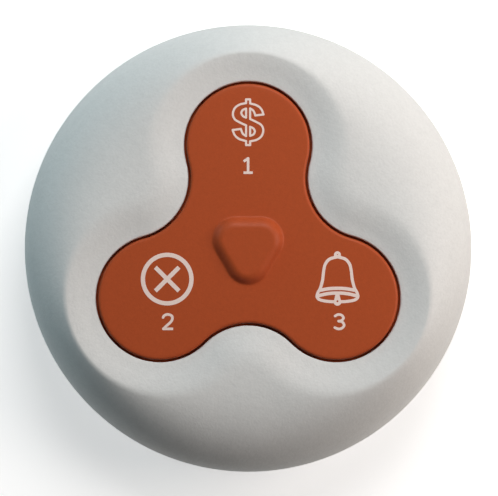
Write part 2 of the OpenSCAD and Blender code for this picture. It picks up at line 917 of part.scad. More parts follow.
// The seal under the lid's edge, squeezed flat on two sides
module lid_seal() {
    color(dark_rubber)
    translate([0, 0, lid_top + touch_gap]) rotate_extrude() translate([seal_r + seal_w / 2, seal_t / 2])
        intersection() {
            circle(d = seal_w * seal_full);
            square([seal_w, seal_t], center = true);
        }
}

gasket_w = 0.9;
gasket_h = 0.8;
gasket_r = body_r - seam_inset - base_rim_w / 2 - gasket_w / 2;

// The gasket in the groove of the base's rim
module seam_gasket() {
    color(dark_rubber)
    translate([0, 0, seam_z - gasket_h]) rotate_extrude() translate([gasket_r, 0])
        square([gasket_w, gasket_h]);
}

foot_pocket = 0.7;
foot_gap = 0.1;
foot_edge = 0.3;

module rubber_feet() {
    color(dark_rubber)
    for (a = lobe_angles) translate(polar(foot_r, a)) {
        cylinder(h = foot_edge, r1 = foot_d / 2 - foot_edge, r2 = foot_d / 2);
        translate([0, 0, foot_edge]) cylinder(h = foot_h + foot_pocket - foot_edge, r = foot_d / 2);
    }
}

// ---------- Base ----------

case_seat_h = 3;
case_seat_z = base_z + case_seat_h;
round_z = base_z + base_round;
lip_t = 0.95;
lip_r = rim_in_r - lip_clear;
lip_deep = 1.8;
lip_high = 1.4;
collar_wall = 1.6;
ring_r = lid_r + lid_clear;
collar_r = ring_r + collar_wall;
cavity_gap = 0.2;
cavity_r = lug_r + cavity_gap;
roof_z = hub_top + cavity_gap;
roof_t = 1.2;
chamber_gap = 0.45;
chamber_r = cell_r + chamber_gap;
board_over = 1;
chamber_top = board_z - board_over;
floor_rib_h = 1.8;
floor_rib_t = 1.1;
overlap = 1;
slot_gap = 0.5;
dot_out = 1.6;
dot_r = 0.7;
ring_mark = [0.9, 0.5];

// Half-section of the base's outer form, moved in by t
module base_section(t, top) {
    translate([0, base_z + t]) square([round_x, top - base_z - t]);
    intersection() {
        translate([round_x, round_z]) circle(base_round - t);
        translate([round_x - eps, 0]) square([base_round, top]);
    }
}

module base_shell() {
    color(base_grey)
    difference() {
        union() {
            difference() {
                rotate_extrude() base_section(0, seam_z);
                rotate_extrude() translate([0, floor_t - wall]) base_section(wall, seam_z + wall);
            }
            rotate_extrude() translate([lip_r - lip_t, seam_z - lip_deep])
                square([lip_t, lip_deep + lip_high]);
            // collar, roof and wall of the battery chamber
            rotate_extrude() translate([chamber_r, base_z])
                square([collar_r - chamber_r, roof_z + roof_t - base_z]);
            rotate_extrude() translate([chamber_r, base_z]) square([hub_wall, chamber_top - base_z]);
            case_boss_places() translate([0, 0, base_z + overlap])
                cylinder(h = post_top - base_z - overlap, r = post_r);
            for (a = lobe_angles) translate([each polar(board_screw_r, a), floor_z - eps])
                cylinder(h = board_z - floor_z + eps, r = board_post_r);
            for (a = concat(lobe_angles, neck_angles)) rotate(a)
                translate([collar_r - overlap, -floor_rib_t / 2, floor_z - eps])
                    cube([case_screw_r - post_r - collar_r + 2 * overlap, floor_rib_t, floor_rib_h]);
        }
        // seat of the lid, mouth, notches and bayonet track
        translate([0, 0, base_z - eps]) cylinder(h = land_z - base_z + eps, r = ring_r);
        translate([0, 0, base_z]) cylinder(h = roof_z - base_z, r = mouth_r);
        for (a = lug_angles) {
            rotate(a - lid_turn - lug_play) rotate_extrude(angle = lug_arc + 2 * lug_play)
                translate([hub_r - overlap, base_z]) square([cavity_r - hub_r + overlap, roof_z - base_z]);
            rotate(a - lid_turn - lug_play) rotate_extrude(angle = lug_arc + lid_turn + 2 * lug_play)
                translate([hub_r - overlap, ledge_top])
                    square([cavity_r - hub_r + overlap, roof_z - ledge_top]);
        }
        // grooves of the seal and the gasket
        rotate_extrude() translate([seal_r - groove_gap, land_z - eps])
            square([seal_w + 2 * groove_gap, seal_t - land_z + lid_top + 2 * groove_gap + eps]);
        rotate_extrude() translate([gasket_r - groove_gap, seam_z - gasket_h])
            square([gasket_w + 2 * groove_gap, gasket_h + eps]);
        // slot in the chamber wall for the side contact
        rotate(plus_a) translate([chamber_r - overlap, -leaf_w / 2 - slot_gap, roof_z - eps])
            cube([plus_foot + hub_wall + overlap, leaf_w + 2 * slot_gap, chamber_top - roof_z + 2 * eps]);
        // screws and feet
        case_boss_places() {
            cylinder(h = case_seat_z, r = case_head_r + screw_pass);
            cylinder(h = post_top + eps, r = case_screw_rad + screw_pass);
        }
        for (a = lobe_angles) translate([each polar(board_screw_r, a), board_z - board_bite - head_gap])
            cylinder(h = board_bite + head_gap + eps, r = small_screw_r + screw_fit);
        for (a = lobe_angles) translate(polar(foot_r, a))
            cylinder(h = base_z + foot_pocket, r = foot_d / 2 + foot_gap);
        // marks for locked and free
        translate([0, 0, base_z - eps]) linear_extrude(mark_d) {
            rotate(bill_a) translate([ring_r + dot_out, 0]) circle(dot_r);
            rotate(bill_a - lid_turn) translate([ring_r + dot_out, 0]) difference() {
                circle(ring_mark[0]);
                circle(ring_mark[1]);
            }
        }
    }
}

upper_shell();
keypad_skin();
bill_key();
cancel_key();
call_key();
bill_pill();
cancel_pill();
call_pill();
guide_frame();
frame_screws();
dome_mat();
circuit_board();
contact_pads();
radio_chip();
crystal();
chip_parts();
antenna_coil();
board_screws();
minus_contact();
plus_contact();
coin_cell();
seam_gasket();
base_shell();
case_screws();
battery_lid();
lid_seal();
rubber_feet();
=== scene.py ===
import math

import bmesh
import bpy
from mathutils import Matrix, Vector
from mathutils.geometry import delaunay_2d_cdt


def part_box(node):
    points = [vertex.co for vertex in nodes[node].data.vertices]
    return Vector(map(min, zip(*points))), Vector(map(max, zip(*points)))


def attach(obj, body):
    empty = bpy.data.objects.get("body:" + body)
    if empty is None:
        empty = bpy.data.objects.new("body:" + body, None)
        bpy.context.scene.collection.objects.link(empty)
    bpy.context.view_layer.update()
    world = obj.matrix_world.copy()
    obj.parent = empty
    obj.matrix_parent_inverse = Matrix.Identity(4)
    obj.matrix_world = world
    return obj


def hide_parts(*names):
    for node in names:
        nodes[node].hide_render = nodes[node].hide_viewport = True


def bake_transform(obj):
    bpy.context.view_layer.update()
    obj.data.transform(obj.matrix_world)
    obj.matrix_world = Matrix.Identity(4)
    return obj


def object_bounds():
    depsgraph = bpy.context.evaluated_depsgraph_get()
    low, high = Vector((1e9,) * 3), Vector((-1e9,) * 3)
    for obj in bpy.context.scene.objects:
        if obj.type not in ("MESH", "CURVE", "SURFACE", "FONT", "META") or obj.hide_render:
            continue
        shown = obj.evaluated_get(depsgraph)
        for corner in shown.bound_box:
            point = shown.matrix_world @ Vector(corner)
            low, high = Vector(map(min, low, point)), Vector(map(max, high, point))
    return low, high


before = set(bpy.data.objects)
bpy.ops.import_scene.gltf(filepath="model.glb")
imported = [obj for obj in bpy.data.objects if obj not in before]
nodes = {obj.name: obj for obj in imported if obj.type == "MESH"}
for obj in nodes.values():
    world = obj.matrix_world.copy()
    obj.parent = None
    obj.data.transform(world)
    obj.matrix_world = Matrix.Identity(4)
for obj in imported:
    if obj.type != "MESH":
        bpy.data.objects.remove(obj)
cad_low, cad_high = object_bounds()
bpy.context.scene.view_settings.view_transform = "Standard"


# ---------------------------------------------------------------- Upper shell
# The upper half of the case: grained matt ABS, dished round the keypad, with a crown that falls to a round rim.
# It is moulded in one shot, with bosses inside for the case screws and for the screws of the guide frame.

mm = 0.001
turn = 2 * math.pi
third = turn / 3
sixth = third / 2
bill_a, cancel_a, call_a = (math.radians(a) for a in (90, 210, 330))
neck_angles = [bill_a - sixth, bill_a + sixth, bill_a + 3 * sixth]
sectors = 360

skin_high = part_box("keypad_skin")[1]
boss_h, skin_proud = 1.3 * mm, 0.4 * mm
skin_top = skin_high.z - boss_h
window_z = skin_top - skin_proud
window_round = 0.3 * mm
lobe_d, lobe_r, neck_r = 18.1 * mm, 11.4 * mm, 10.7 * mm
arc_sum = lobe_r + neck_r
neck_d = (lobe_d + math.sqrt(4 * arc_sum ** 2 - 3 * lobe_d ** 2)) / 2
neck_x, neck_y = neck_d * math.cos(sixth), neck_d * math.sin(sixth)
join_x, join_y = (neck_x - lobe_d) / arc_sum, neck_y / arc_sum
neck_min = neck_d - neck_r

shell_low, shell_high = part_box("upper_shell")
body_r = shell_high.x
waist_z, seam_z, seam_inset = 10 * mm, shell_low.z, 0.7 * mm
wall, seam_wall, seam_step = 2.2 * mm, 2.25 * mm, 1.8 * mm
dish_w, dish_h, dish_power = 5 * mm, 1.2 * mm, 1.3
crest_soft = 0.7 * mm
tip_power, neck_power, rim_power = 1.3, 3, 1.7
lip_z = window_z - wall
land_w = 2.8 * mm
rim_lead, rim_w = 1 * mm, 5 * mm


def fold(a):
    """Angle from the nearest lobe's middle line, 0 to 60 degrees."""
    return abs((a - bill_a + sixth) % third - sixth)


def edge_r(a, o):
    """Radius in direction a of the window outline, moved out by o."""
    f, lr, nr = fold(a), lobe_r + o, neck_r - o
    if f < math.atan2(lr * join_y, lobe_d + lr * join_x):
        return lobe_d * math.cos(f) + math.sqrt(lr ** 2 - (lobe_d * math.sin(f)) ** 2)
    g = sixth - f
    return neck_d * math.cos(g) - math.sqrt(nr ** 2 - (neck_d * math.sin(g)) ** 2)


def outline_gap(r, a):
    """Distance of a point outside the window outline."""
    x, y = r * math.cos(fold(a)), r * math.sin(fold(a))
    if join_x * y - join_y * (x - lobe_d) < 0:
        return math.hypot(x - lobe_d, y) - lobe_r
    return neck_r - math.hypot(x - neck_x, y - neck_y)


def mix(a, b, s):
    return a * (1 - s) + b * s


def soft_min(a, b, k):
    """The lower of a and b, rounded over where they are less than k apart."""
    return min(a, b) - max(k - abs(a - b), 0) ** 2 / (4 * k)


def top_z(r, a, t=0.0):
    """Height of the moulded top, moved in by t: the dished band up to its crest, and from there the crown.
    The crown stays high between the lobes and falls off at once past their tips."""
    crest = edge_r(a, dish_w)
    tip = (crest - neck_min - dish_w) / (lobe_d + lobe_r - neck_min)
    power = mix(neck_power, tip_power, tip)
    out = min(max((r - crest) / (body_r - t - crest), 0), 1)
    crown = waist_z + (window_z + dish_h - t - waist_z) * (1 - out ** power) ** (1 / rim_power)
    band = window_z + dish_h * (max(outline_gap(r, a), 0) / dish_w) ** dish_power
    return soft_min(crown, band - t, crest_soft)


def rim_r(a, t):
    """Radius where the rings of the rim start in direction a, always outside the window's land."""
    return max(body_r - rim_w - t, edge_r(a, land_w) + rim_lead)


def start_ring(name, profile, angles=None):
    """Adds a ring of points in edit mode, each at the radius and height that profile gives for its direction.
    Given two angles, it keeps only the stretch between them."""
    bpy.ops.object.select_all(action="DESELECT")
    bpy.ops.mesh.primitive_circle_add(vertices=sectors, radius=body_r)
    bpy.context.object.name = name
    bpy.ops.object.mode_set(mode="EDIT")
    if angles:
        ring = bmesh.from_edit_mesh(bpy.context.object.data)
        middle, reach = (angles[0] + angles[1]) / 2, (angles[1] - angles[0]) / 2
        slack = turn / sectors / 4
        for v in ring.verts:
            off = (math.atan2(v.co.y, v.co.x) - middle + turn / 2) % turn - turn / 2
            v.select_set(abs(off) > reach + slack)
        ring.select_flush_mode()
        bpy.ops.mesh.delete(type="VERT")
        bpy.ops.mesh.select_all(action="SELECT")
    place_ring(profile)


def place_ring(profile):
    """Sets the selected ring's points to the radius and height that profile gives for their direction."""
    mesh = bmesh.from_edit_mesh(bpy.context.object.data)
    for v in mesh.verts:
        if v.select:
            a = math.atan2(v.co.y, v.co.x)
            r, z = profile(a)
            v.co = (r * math.cos(a), r * math.sin(a), z)
    bmesh.update_edit_mesh(bpy.context.object.data)


def pull_rings(profiles):
    """Extrudes the selected ring once for each profile."""
    for profile in profiles:
        bpy.ops.mesh.extrude_region_move()
        place_ring(profile)


def close_up(smooth_angle):
    """Merges the last ring with the first, turns the faces outwards and shades the piece."""
    bpy.ops.mesh.select_all(action="SELECT")
    bpy.ops.mesh.remove_doubles(threshold=1e-7)
    bpy.ops.mesh.normals_make_consistent(inside=False)
    bpy.ops.object.mode_set(mode="OBJECT")
    piece = bpy.context.object
    bpy.ops.object.shade_smooth_by_angle(angle=math.radians(smooth_angle))
    return piece


def window_rounding(s):
    b = s * math.pi / 2
    o = window_round * (1 - math.cos(b))
    return lambda a: (edge_r(a, o), window_z - window_round * (1 - math.sin(b)))


def on_top(s):
    """s is 0 at the window, 1 on the crest of the dished band and 2 where the rim starts."""
    def profile(a):
        crest = min(edge_r(a, dish_w), rim_r(a, 0) - rim_lead / 2)
        inner = edge_r(a, window_round)
        r = mix(inner, crest, s) if s < 1 else mix(crest, rim_r(a, 0), s - 1)
        return r, top_z(r, a)
    return profile


def on_rim(s, t):
    """s is 0 where the rim starts and 1 on the widest line, moved in by t."""
    def profile(a):
        r = mix(rim_r(a, t), body_r - t, math.sin(s * math.pi / 2))
        return r, top_z(r, a, t) if s < 1 else waist_z
    return profile


def under_top(s):
    """s is 0 beside the window's land and 1 where the rim starts, on the inside of the wall."""
    def profile(a):
        r = mix(edge_r(a, land_w + window_round), rim_r(a, wall), s)
        return r, top_z(r, a, wall)
    return profile


def below_waist(s):
    return lambda a: (body_r - seam_inset * s * s, mix(waist_z, seam_z, s))


seam_in_r = body_r - seam_inset - seam_wall
seam_top = seam_z + seam_step
start_ring("upper_shell_moulding", lambda a: (edge_r(a, 0), lip_z))
pull_rings([window_rounding(k / 5) for k in range(6)])
pull_rings([on_top(k / 16) for k in range(1, 17)])
pull_rings([on_top(1 + k / 16) for k in range(1, 17)])
pull_rings([on_rim(k / 24, 0) for k in range(1, 25)])
pull_rings([below_waist(k / 6) for k in range(1, 7)])
pull_rings([lambda a: (seam_in_r, seam_z), lambda a: (seam_in_r, seam_top)])
pull_rings([on_rim(k / 8, wall) for k in range(8, -1, -1)])
pull_rings([under_top(k / 8) for k in range(7, -1, -1)])
pull_rings([lambda a: (edge_r(a, land_w), lip_z), lambda a: (edge_r(a, 0), lip_z)])
close_up(smooth_angle=50)


boss_sides = 48
case_boss_r, case_bore_r, case_head_r = 3 * mm, 1.12 * mm, 2.09 * mm
frame_boss_r, frame_bore_r, frame_bore_depth = 2.5 * mm, 0.82 * mm, 3.1 * mm
frame_screw_out, frame_t, bore_end = 5.6 * mm, 1.6 * mm, 0.1 * mm


def screw_boss(centre, low, high, outer, bore, depth):
    """A boss with a blind bore, joined to the piece that is active."""
    owner = bpy.context.object
    bpy.ops.object.select_all(action="DESELECT")
    bpy.ops.mesh.primitive_circle_add(
        vertices=boss_sides, radius=outer, location=(*centre, low), fill_type="NGON")
    boss = bpy.context.object
    bpy.ops.object.mode_set(mode="EDIT")
    bpy.ops.mesh.inset(thickness=outer - bore)
    bpy.ops.mesh.extrude_region_move(TRANSFORM_OT_translate={"value": (0, 0, depth)})
    ring = bmesh.from_edit_mesh(boss.data)
    for v in ring.verts:
        v.select_set(v.co.z < depth / 2 and v.co.length > (outer + bore) / 2)
    ring.select_flush_mode()
    bpy.ops.mesh.extrude_region_move(TRANSFORM_OT_translate={"value": (0, 0, high - low)})
    bpy.ops.mesh.edge_face_add()
    bpy.ops.mesh.select_all(action="SELECT")
    bpy.ops.mesh.normals_make_consistent(inside=False)
    bpy.ops.object.mode_set(mode="OBJECT")
    bpy.ops.object.transform_apply(location=True, rotation=True, scale=True)
    owner.select_set(True)
    bpy.context.view_layer.objects.active = owner
    bpy.ops.object.join()


case_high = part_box("case_screws")[1]
case_r = (case_high.y - case_head_r) / math.sin(neck_angles[0])
frame_screw_r = neck_min + frame_screw_out
frame_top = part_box("guide_frame")[0].z + frame_t
for a in neck_angles:
    case_place = (case_r * math.cos(a), case_r * math.sin(a))
    case_roof = top_z(case_r + case_boss_r, a) - wall / 6
    screw_boss(case_place, seam_top, case_roof, case_boss_r, case_bore_r, case_high.z + bore_end - seam_top)
    frame_place = (frame_screw_r * math.cos(a), frame_screw_r * math.sin(a))
    frame_roof = top_z(frame_screw_r - frame_boss_r, a) - wall / 4
    screw_boss(frame_place, frame_top, frame_roof, frame_boss_r, frame_bore_r, frame_bore_depth)
shell = bpy.context.object


def new_group(name, inputs):
    """A shader node group with these inputs, each a name, a kind and a value, and outputs for a finish.
    It comes with its given values and the place on the object."""
    group = bpy.data.node_groups.new(name, "ShaderNodeTree")
    for label, kind, value in inputs:
        socket = group.interface.new_socket(name=label, in_out="INPUT", socket_type="NodeSocket" + kind)
        socket.default_value = value
    for label, kind in (("Colour", "Color"), ("Roughness", "Float"), ("Normal", "Vector")):
        group.interface.new_socket(name=label, in_out="OUTPUT", socket_type="NodeSocket" + kind)
    return group, group.nodes.new("NodeGroupInput").outputs, node(group, "TexCoord").outputs["Object"]


def put_out(group, colour, rough, normal):
    """Links the sockets that give a group's colour, roughness and normal to its outputs."""
    out = group.nodes.new("NodeGroupOutput")
    for label, socket in (("Colour", colour), ("Roughness", rough), ("Normal", normal)):
        group.links.new(socket, out.inputs[label])


def node(tree, kind, **settings):
    """Adds a shader node. A setting that isn't a property of the node goes to the input socket of that name,
    or of that number after "in", as a value or as a link."""
    new = tree.nodes.new("ShaderNode" + kind)
    sockets = {}
    for key, value in settings.items():
        if hasattr(new, key):
            setattr(new, key, value)
        else:
            sockets[key] = value
    for key, value in sockets.items():
        label = key.replace("_", " ")
        socket = new.inputs[int(label[2:])] if label.startswith("in") else new.inputs[label]
        if isinstance(value, bpy.types.NodeSocket):
            tree.links.new(value, socket)
        else:
            socket.default_value = value
    return new


def grain_group():
    """Spark-eroded mould grain: fine pits, a slow drift of tone, and a roughness that goes with them.
    The colour is painted darker in the pits and lighter on their high spots, as painted shade and highlight.
    """
    tree, given, place = new_group("mould_grain", [
        ("Colour", "Color", (0.8, 0.8, 0.8, 1)), ("Grain", "Float", 2200.0), ("Depth", "Float", 0.00002),
        ("Pit tone", "Float", 0.05), ("Drift", "Float", 0.03), ("Roughness", "Float", 0.5)])
    pits = node(tree, "TexNoise", Vector=place, Scale=given["Grain"], Detail=2.0, Roughness=0.55)
    half = node(tree, "Math", operation="MULTIPLY", in0=given["Grain"], in1=0.37)
    swell = node(tree, "TexNoise", Vector=place, Scale=half.outputs[0], Detail=1.0)
    slow = node(tree, "TexNoise", Vector=place, Scale=38.0, Detail=3.0, Roughness=0.6)
    height = node(tree, "Math", operation="MULTIPLY_ADD", in0=swell.outputs[0], in1=0.6, in2=pits.outputs[0])
    pit = node(tree, "MapRange", Value=height.outputs[0], From_Min=0.5, From_Max=1.1, To_Min=-1.0)
    # Painted shade: the colour is darker where the grain's bump is low and lighter where it is high
    pit_painted_shade = node(tree, "Math", operation="MULTIPLY", in0=pit.outputs[0], in1=given["Pit tone"])
    lean = node(tree, "Math", operation="SUBTRACT", in0=slow.outputs[0], in1=0.5)
    drift = node(tree, "Math", operation="MULTIPLY_ADD", in0=lean.outputs[0], in1=given["Drift"], in2=1.0)
    level = node(tree, "Math", operation="ADD", in0=pit_painted_shade.outputs[0], in1=drift.outputs[0])
    colour = node(tree, "VectorMath", operation="SCALE", in0=given["Colour"], Scale=level.outputs[0])
    rough = node(tree, "Math", operation="MULTIPLY_ADD", in0=pit.outputs[0], in1=-0.06, in2=given["Roughness"])
    bump = node(tree, "Bump", Distance=given["Depth"], Height=height.outputs[0])
    put_out(tree, colour.outputs[0], rough.outputs[0], bump.outputs[0])
    return tree


def finish_from(name, group, plain, **given):
    """A material whose colour, roughness and normal come from a group with the values given."""
    finish = bpy.data.materials.new(name)
    finish.use_nodes = True
    tree = finish.node_tree
    surface = tree.nodes["Principled BSDF"]
    for label, value in plain.items():
        surface.inputs[label].default_value = value
    maker = tree.nodes.new("ShaderNodeGroup")
    maker.node_tree = group
    for key, value in given.items():
        maker.inputs[key.replace("_", " ")].default_value = value
    tree.links.new(maker.outputs["Colour"], surface.inputs["Base Color"])
    tree.links.new(maker.outputs["Roughness"], surface.inputs["Roughness"])
    tree.links.new(maker.outputs["Normal"], surface.inputs["Normal"])
    return finish


def dress(piece, finish):
    piece.data.materials.clear()
    piece.data.materials.append(finish)


# Every finish made from this grain has painted shade in the grain's pits and painted highlight on its high
# spots
mould_grain = grain_group()
shell_finish = finish_from(
    "grained_grey_abs", mould_grain, {"IOR": 1.5, "Specular IOR Level": 0.4},
    Colour=(0.745, 0.752, 0.738, 1), Grain=2300.0, Depth=0.000035, Pit_tone=0.035, Drift=0.05, Roughness=0.56)
dress(shell, shell_finish)
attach(shell, "housing")
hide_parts("upper_shell")


# ---------------------------------------------------------------- Keypad skin
# One sheet of rust-brown silicone in the window: three lobes over three keys, and a boss like a plectrum in the
# middle, compression moulded with a matt face. A flange under the window's lip holds it; on the pad each lobe
# dips with its key while the middle and the flange stay still. The middle and the flange go with the case here,
# and each lobe is a piece of its own. The piece is cut where nothing moves.

skin_t, skirt_t, flange_w, flange_t = 1.2 * mm, 0.9 * mm, 1.6 * mm, 1 * mm
skin_gap, skin_round = 0.45 * mm, 0.5 * mm
skin_under = skin_top - skin_t
side_wall_o = -skin_gap - skirt_t
slide_gap = 0.05 * mm
boss_flat, boss_corner, boss_side = 5.3 * mm, 6.6 * mm, 2 * mm
boss_power = 2.2
boss_core = boss_corner - boss_flat
boss_grow = boss_flat - boss_core
boss_land = boss_grow - boss_side
foot_round, foot_apron = 0.25 * mm, 0.8 * mm
boss_rim = boss_grow + foot_apron


def boss_r(a, t):
    """Radius in direction a of the boss's small triangle grown by t."""
    f, g = fold(a), sixth - fold(a)
    if math.tan(f) * (boss_core + t) <= boss_core * math.sqrt(3):
        return (boss_core + t) / math.cos(f)
    return 2 * boss_core * math.cos(g) + math.sqrt(max(t * t - (2 * boss_core * math.sin(g)) ** 2, 0))


def on_boss(t):
    """A ring on the boss, level on its land and steep down to its foot, which runs out in a small round."""
    low = min(max((t - boss_land) / boss_side, 0), 1)
    side_z = boss_h * (1 - low ** boss_power)
    run_out = min(max((boss_grow + foot_round - t) / (2 * foot_round), 0), 1)
    foot_z = boss_h * boss_power / boss_side * foot_round * run_out ** 2
    z = foot_z if t > boss_grow - foot_round and foot_z > side_z else side_z
    return lambda a: (boss_r(a, t), skin_top + z)


def on_pad(s):
    """s is 0 beside the boss and 1 where the skin's edge starts to round."""
    return lambda a: (mix(boss_r(a, boss_rim), edge_r(a, -skin_gap - skin_round), s), skin_top)


def skin_rounding(s):
    b = s * math.pi / 2
    o = -skin_gap - skin_round * (1 - math.sin(b))
    return lambda a: (edge_r(a, o), skin_top - skin_round * (1 - math.cos(b)))


skin_finish = finish_from(
    "rust_silicone", mould_grain, {"IOR": 1.42, "Specular IOR Level": 0.2},
    Colour=(0.455, 0.080, 0.022, 1), Grain=3200.0, Depth=0.000012, Pit_tone=0.05, Drift=0.06, Roughness=0.42)


def add_skin(name):
    piece = close_up(smooth_angle=40)
    dress(piece, skin_finish)
    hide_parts("keypad_skin")
    return piece


pole_r = 0.4 * mm
start_ring("keypad_centre", on_boss(boss_rim))
pull_rings([on_boss(mix(boss_rim, boss_grow + foot_round, k / 2)) for k in (1, 2)])
pull_rings([on_boss(boss_grow + foot_round * (1 - k / 4)) for k in range(1, 9)])
pull_rings([on_boss(mix(boss_grow - foot_round, boss_land, k / 16)) for k in range(1, 17)])
pull_rings([on_boss(boss_land * (1 - k / 5)) for k in range(1, 5)])
pull_rings([lambda a: (pole_r, skin_high.z)])
bpy.ops.mesh.edge_face_add()
bpy.ops.object.mode_set(mode="OBJECT")
bpy.ops.object.mode_set(mode="EDIT")
bpy.ops.mesh.select_all(action="DESELECT")
bpy.ops.mesh.select_non_manifold()
pull_rings([lambda a: (boss_r(a, boss_rim), skin_under)])
bpy.ops.mesh.edge_face_add()
centre = add_skin("keypad_centre")
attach(centre, "housing")

start_ring("keypad_flange", lambda a: (edge_r(a, slide_gap - skin_gap), lip_z))
pull_rings([lambda a: (edge_r(a, flange_w), lip_z), lambda a: (edge_r(a, flange_w), lip_z - flange_t)])
pull_rings([lambda a: (edge_r(a, slide_gap - skin_gap), lip_z - flange_t)])
pull_rings([lambda a: (edge_r(a, slide_gap - skin_gap), lip_z)])
flange = add_skin("keypad_flange")
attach(flange, "housing")

for key, a in (("bill", bill_a), ("cancel", cancel_a), ("call", call_a)):
    start_ring(f"keypad_lobe_{key}", on_pad(0), (a - sixth, a + sixth))
    pull_rings([on_pad(k / 30) for k in range(1, 31)])
    pull_rings([skin_rounding(k / 6) for k in range(1, 7)])
    pull_rings([lambda a: (edge_r(a, -skin_gap), lip_z), lambda a: (edge_r(a, side_wall_o), lip_z)])
    pull_rings([lambda a: (edge_r(a, side_wall_o), skin_under)])
    pull_rings([lambda a, s=s: (mix(edge_r(a, side_wall_o), boss_r(a, boss_rim), s), skin_under)
                for s in (0.25, 0.5, 0.75, 1)])
    pull_rings([on_pad(0)])
    bpy.ops.mesh.select_all(action="SELECT")
    bpy.ops.mesh.remove_doubles(threshold=1e-7)
    for side in (-1, 1):
        bpy.ops.mesh.select_all(action="DESELECT")
        cut = bmesh.from_edit_mesh(bpy.context.object.data)
        for e in cut.edges:
            middle = (e.verts[0].co + e.verts[1].co) / 2
            off = (math.atan2(middle.y, middle.x) - a + turn / 2) % turn - turn / 2
            if e.is_boundary and off * side > 0:
                e.select_set(True)
        bpy.ops.mesh.edge_face_add()
    lobe = add_skin(f"keypad_lobe_{key}")
    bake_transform(lobe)


# ---------------------------------------------------------------- Legends
# Pad-printed marks on the lobes, pinkish white and a few hundredths of a millimetre thick: a dollar sign,
# a cross in a ring and a hand bell, each with a plain digit below it. They lie on the skin and dip with it.

ink_t = 0.03 * mm
ink_z = skin_top - ink_t / 3
ink_group, given, place = new_group("printed_ink", [
    ("Colour", "Color", (0.8, 0.8, 0.8, 1)), ("Thin", "Float", 0.08), ("Roughness", "Float", 0.5)])
patch = node(ink_group, "TexNoise", Vector=place, Scale=1400.0, Detail=3.0, Roughness=0.65)
lean = node(ink_group, "Math", operation="SUBTRACT", in0=patch.outputs[0], in1=0.5)
level = node(ink_group, "Math", operation="MULTIPLY_ADD", in0=lean.outputs[0], in1=given["Thin"], in2=1.0)
colour = node(ink_group, "VectorMath", operation="SCALE", in0=given["Colour"], Scale=level.outputs[0])
rough = node(ink_group, "Math", operation="MULTIPLY_ADD", in0=lean.outputs[0], in1=0.3, in2=given["Roughness"])
bump = node(ink_group, "Bump", Distance=0.00001, Height=patch.outputs[0])
put_out(ink_group, colour.outputs[0], rough.outputs[0], bump.outputs[0])
ink_finish = finish_from(
    "pinkish_white_ink", ink_group, {"IOR": 1.45}, Colour=(0.93, 0.75, 0.68, 1), Thin=0.10, Roughness=0.5)


def arc(centre, r, start, end, steps=24):
    """Points on an arc between two angles in degrees."""
    return [(centre[0] + r * math.cos(math.radians(mix(start, end, k / steps))),
             centre[1] + r * math.sin(math.radians(mix(start, end, k / steps))))
            for k in range(steps + 1)]


def curve_through(points, steps=8):
    """A smooth line through the points, with this many steps from one to the next."""
    ends = [points[0], *points, points[-1]]
    line = []
    for around in zip(ends, ends[1:], ends[2:], ends[3:]):
        for k in range(steps):
            s = k / steps
            line.append(tuple(
                0.5 * (2 * b + (c - a) * s + (2 * a - 5 * b + 4 * c - d) * s * s
                       + (3 * b - a - 3 * c + d) * s ** 3)
                for a, b, c, d in zip(*around)))
    return line + [points[-1]]


def mirrored(points):
    """The half line and its mirror image, as one closed line."""
    return points + [(-x, y) for x, y in points[::-1] if abs(x) > 1e-6]


def half_turned(points):
    """The line after half a turn."""
    return [(-x, -y) for x, y in points]


def stroke(points, width, closed=False):
    """The flat pieces of a stroke: a bar for each stretch between two points, and a disc at each joint."""
    shapes = []
    stretches = list(zip(points, points[1:] + points[:1])) if closed else list(zip(points, points[1:]))
    for (x1, y1), (x2, y2) in stretches:
        length = math.hypot(x2 - x1, y2 - y1)
        nx, ny = (y1 - y2) / length * width / 2, (x2 - x1) / length * width / 2
        shapes.append([(x1 + nx, y1 + ny), (x1 - nx, y1 - ny), (x2 - nx, y2 - ny), (x2 + nx, y2 + ny)])
    for joint in points if closed else points[1:-1]:
        shapes.append(arc(joint, width / 2, 0, 360, 20)[:-1])
    return shapes


def flat_piece(name, shapes, centre, low, thickness, bare=()):
    """One flat piece of all the shapes, less those left bare. Shapes and centre are in millimetres."""
    corners, outlines = [], []
    for shape in [*shapes, *bare]:
        outlines.append(list(range(len(corners), len(corners) + len(shape))))
        corners += [Vector(c) for c in shape]
    flat = delaunay_2d_cdt(corners, [], outlines, 1, 1e-5)
    kept = [f for f, owners in zip(flat[2], flat[5]) if owners and max(owners) < len(shapes)]
    data = bpy.data.meshes.new(name)
    data.from_pydata([(c.x * mm, c.y * mm, 0) for c in flat[0]], [], kept)
    piece = bpy.data.objects.new(name, data)
    bpy.context.scene.collection.objects.link(piece)
    bpy.ops.object.select_all(action="DESELECT")
    piece.select_set(True)
    bpy.context.view_layer.objects.active = piece
    bpy.ops.object.mode_set(mode="EDIT")
    bpy.ops.mesh.select_all(action="SELECT")
    bpy.ops.mesh.delete_loose()
    bpy.ops.mesh.select_all(action="SELECT")
    bpy.ops.mesh.dissolve_limited(angle_limit=math.radians(0.5))
    bpy.ops.mesh.normals_make_consistent(inside=False)
    bpy.ops.mesh.extrude_region_move(TRANSFORM_OT_translate={"value": (0, 0, thickness)})
    bpy.ops.mesh.select_all(action="SELECT")
    bpy.ops.mesh.normals_make_consistent(inside=False)
    bpy.ops.object.mode_set(mode="OBJECT")
    piece.location = (centre[0] * mm, centre[1] * mm, low)
    bpy.ops.object.transform_apply(location=True, rotation=True, scale=True)
    return piece


def print_mark(name, shapes, body, centre, bare=()):
    """A print on the skin with its middle at centre, that moves with the key below it."""
    mark = flat_piece(name, shapes, centre, ink_z, ink_t, bare)
    dress(mark, ink_finish)
    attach(mark, body)


